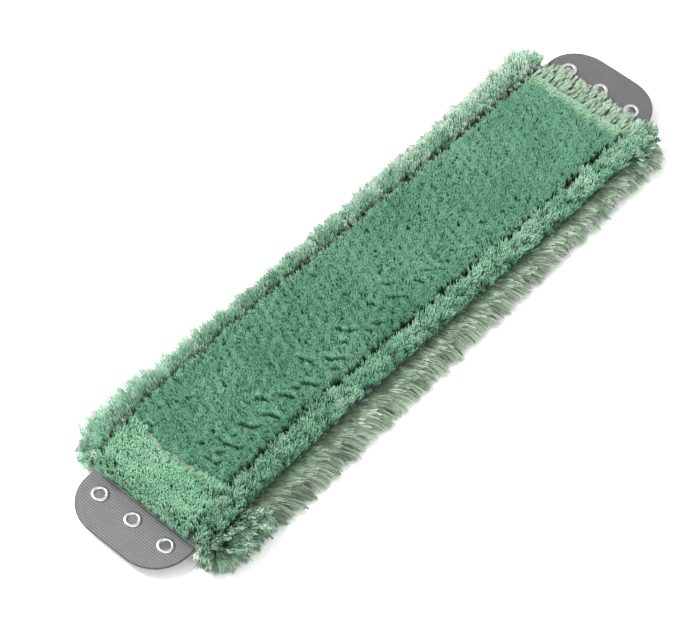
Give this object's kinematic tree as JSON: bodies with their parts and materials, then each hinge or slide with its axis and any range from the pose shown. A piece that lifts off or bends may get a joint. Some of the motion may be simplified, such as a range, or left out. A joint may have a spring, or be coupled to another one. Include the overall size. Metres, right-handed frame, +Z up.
{
  "type": "flat mop head",
  "caption": "Long flat microfibre mop head: cut-pile face with side fringe, holder pockets on the back and an eyelet tongue at each end.",
  "frame": {"origin": "middle of the mop's length and width, on the plane its back lies on", "axes": "+X along the length to the rear tongue, +Y to the left long edge, +Z up through the pile"},
  "size_m": [0.574, 0.1542, 0.0276],
  "materials": {
    "pile": "cut microfibre pile, combed in tufts",
    "fringe": "loose pale microfibre strands",
    "ground": "open woven ground cloth",
    "backing": "plain woven cloth",
    "pad": "needled absorbent felt",
    "pocket": "tight twill cloth",
    "binding": "folded woven tape",
    "tape": "ribbed woven tape",
    "webbing": "tight ribbed webbing",
    "green_thread": "lockstitch thread",
    "white_thread": "lockstitch thread",
    "eyelet_metal": "bright nickel plate"
  },
  "bodies": {
    "mop_body": {"backing_cloth": "backing", "face_cloth": "ground", "absorbent_pad": "pad", "centre_pile": "pile", "side_pile_left": "pile", "side_pile_right": "pile", "end_pile_front": "pile", "end_pile_rear": "pile", "fringe_left": "fringe", "fringe_right": "fringe", "edge_binding_left": "binding", "edge_binding_right": "binding", "gutter_seam_left": "green_thread", "gutter_seam_right": "green_thread", "cross_seam_front": "ground", "cross_seam_rear": "ground", "pocket_front": "pocket", "pocket_rear": "pocket", "pocket_tape_front": "tape", "pocket_tape_rear": "tape", "tongue_root_front": "webbing", "tongue_root_rear": "webbing", "end_stitching_front": "white_thread", "end_stitching_rear": "white_thread"},
    "tongue_front": {"tongue_front": "webbing", "eyelet_front_left": "eyelet_metal", "washer_front_left": "eyelet_metal", "eyelet_front_middle": "eyelet_metal", "washer_front_middle": "eyelet_metal", "eyelet_front_right": "eyelet_metal", "washer_front_right": "eyelet_metal"},
    "tongue_rear": {"tongue_rear": "webbing", "eyelet_rear_left": "eyelet_metal", "washer_rear_left": "eyelet_metal", "eyelet_rear_middle": "eyelet_metal", "washer_rear_middle": "eyelet_metal", "eyelet_rear_right": "eyelet_metal", "washer_rear_right": "eyelet_metal"}
  },
  "joints": [
    {"name": "tongue_front_bend", "type": "hinge", "parent": "mop_body", "child": "tongue_front", "pos_m": [-0.2503, 0, 0.0078], "axis": [0, 1, 0], "range_deg": [-135, 20], "stiffness_Nm_per_rad": 0.08},
    {"name": "tongue_rear_bend", "type": "hinge", "parent": "mop_body", "child": "tongue_rear", "pos_m": [0.2503, 0, 0.0078], "axis": [0, -1, 0], "range_deg": [-135, 20], "stiffness_Nm_per_rad": 0.08}
  ]
}
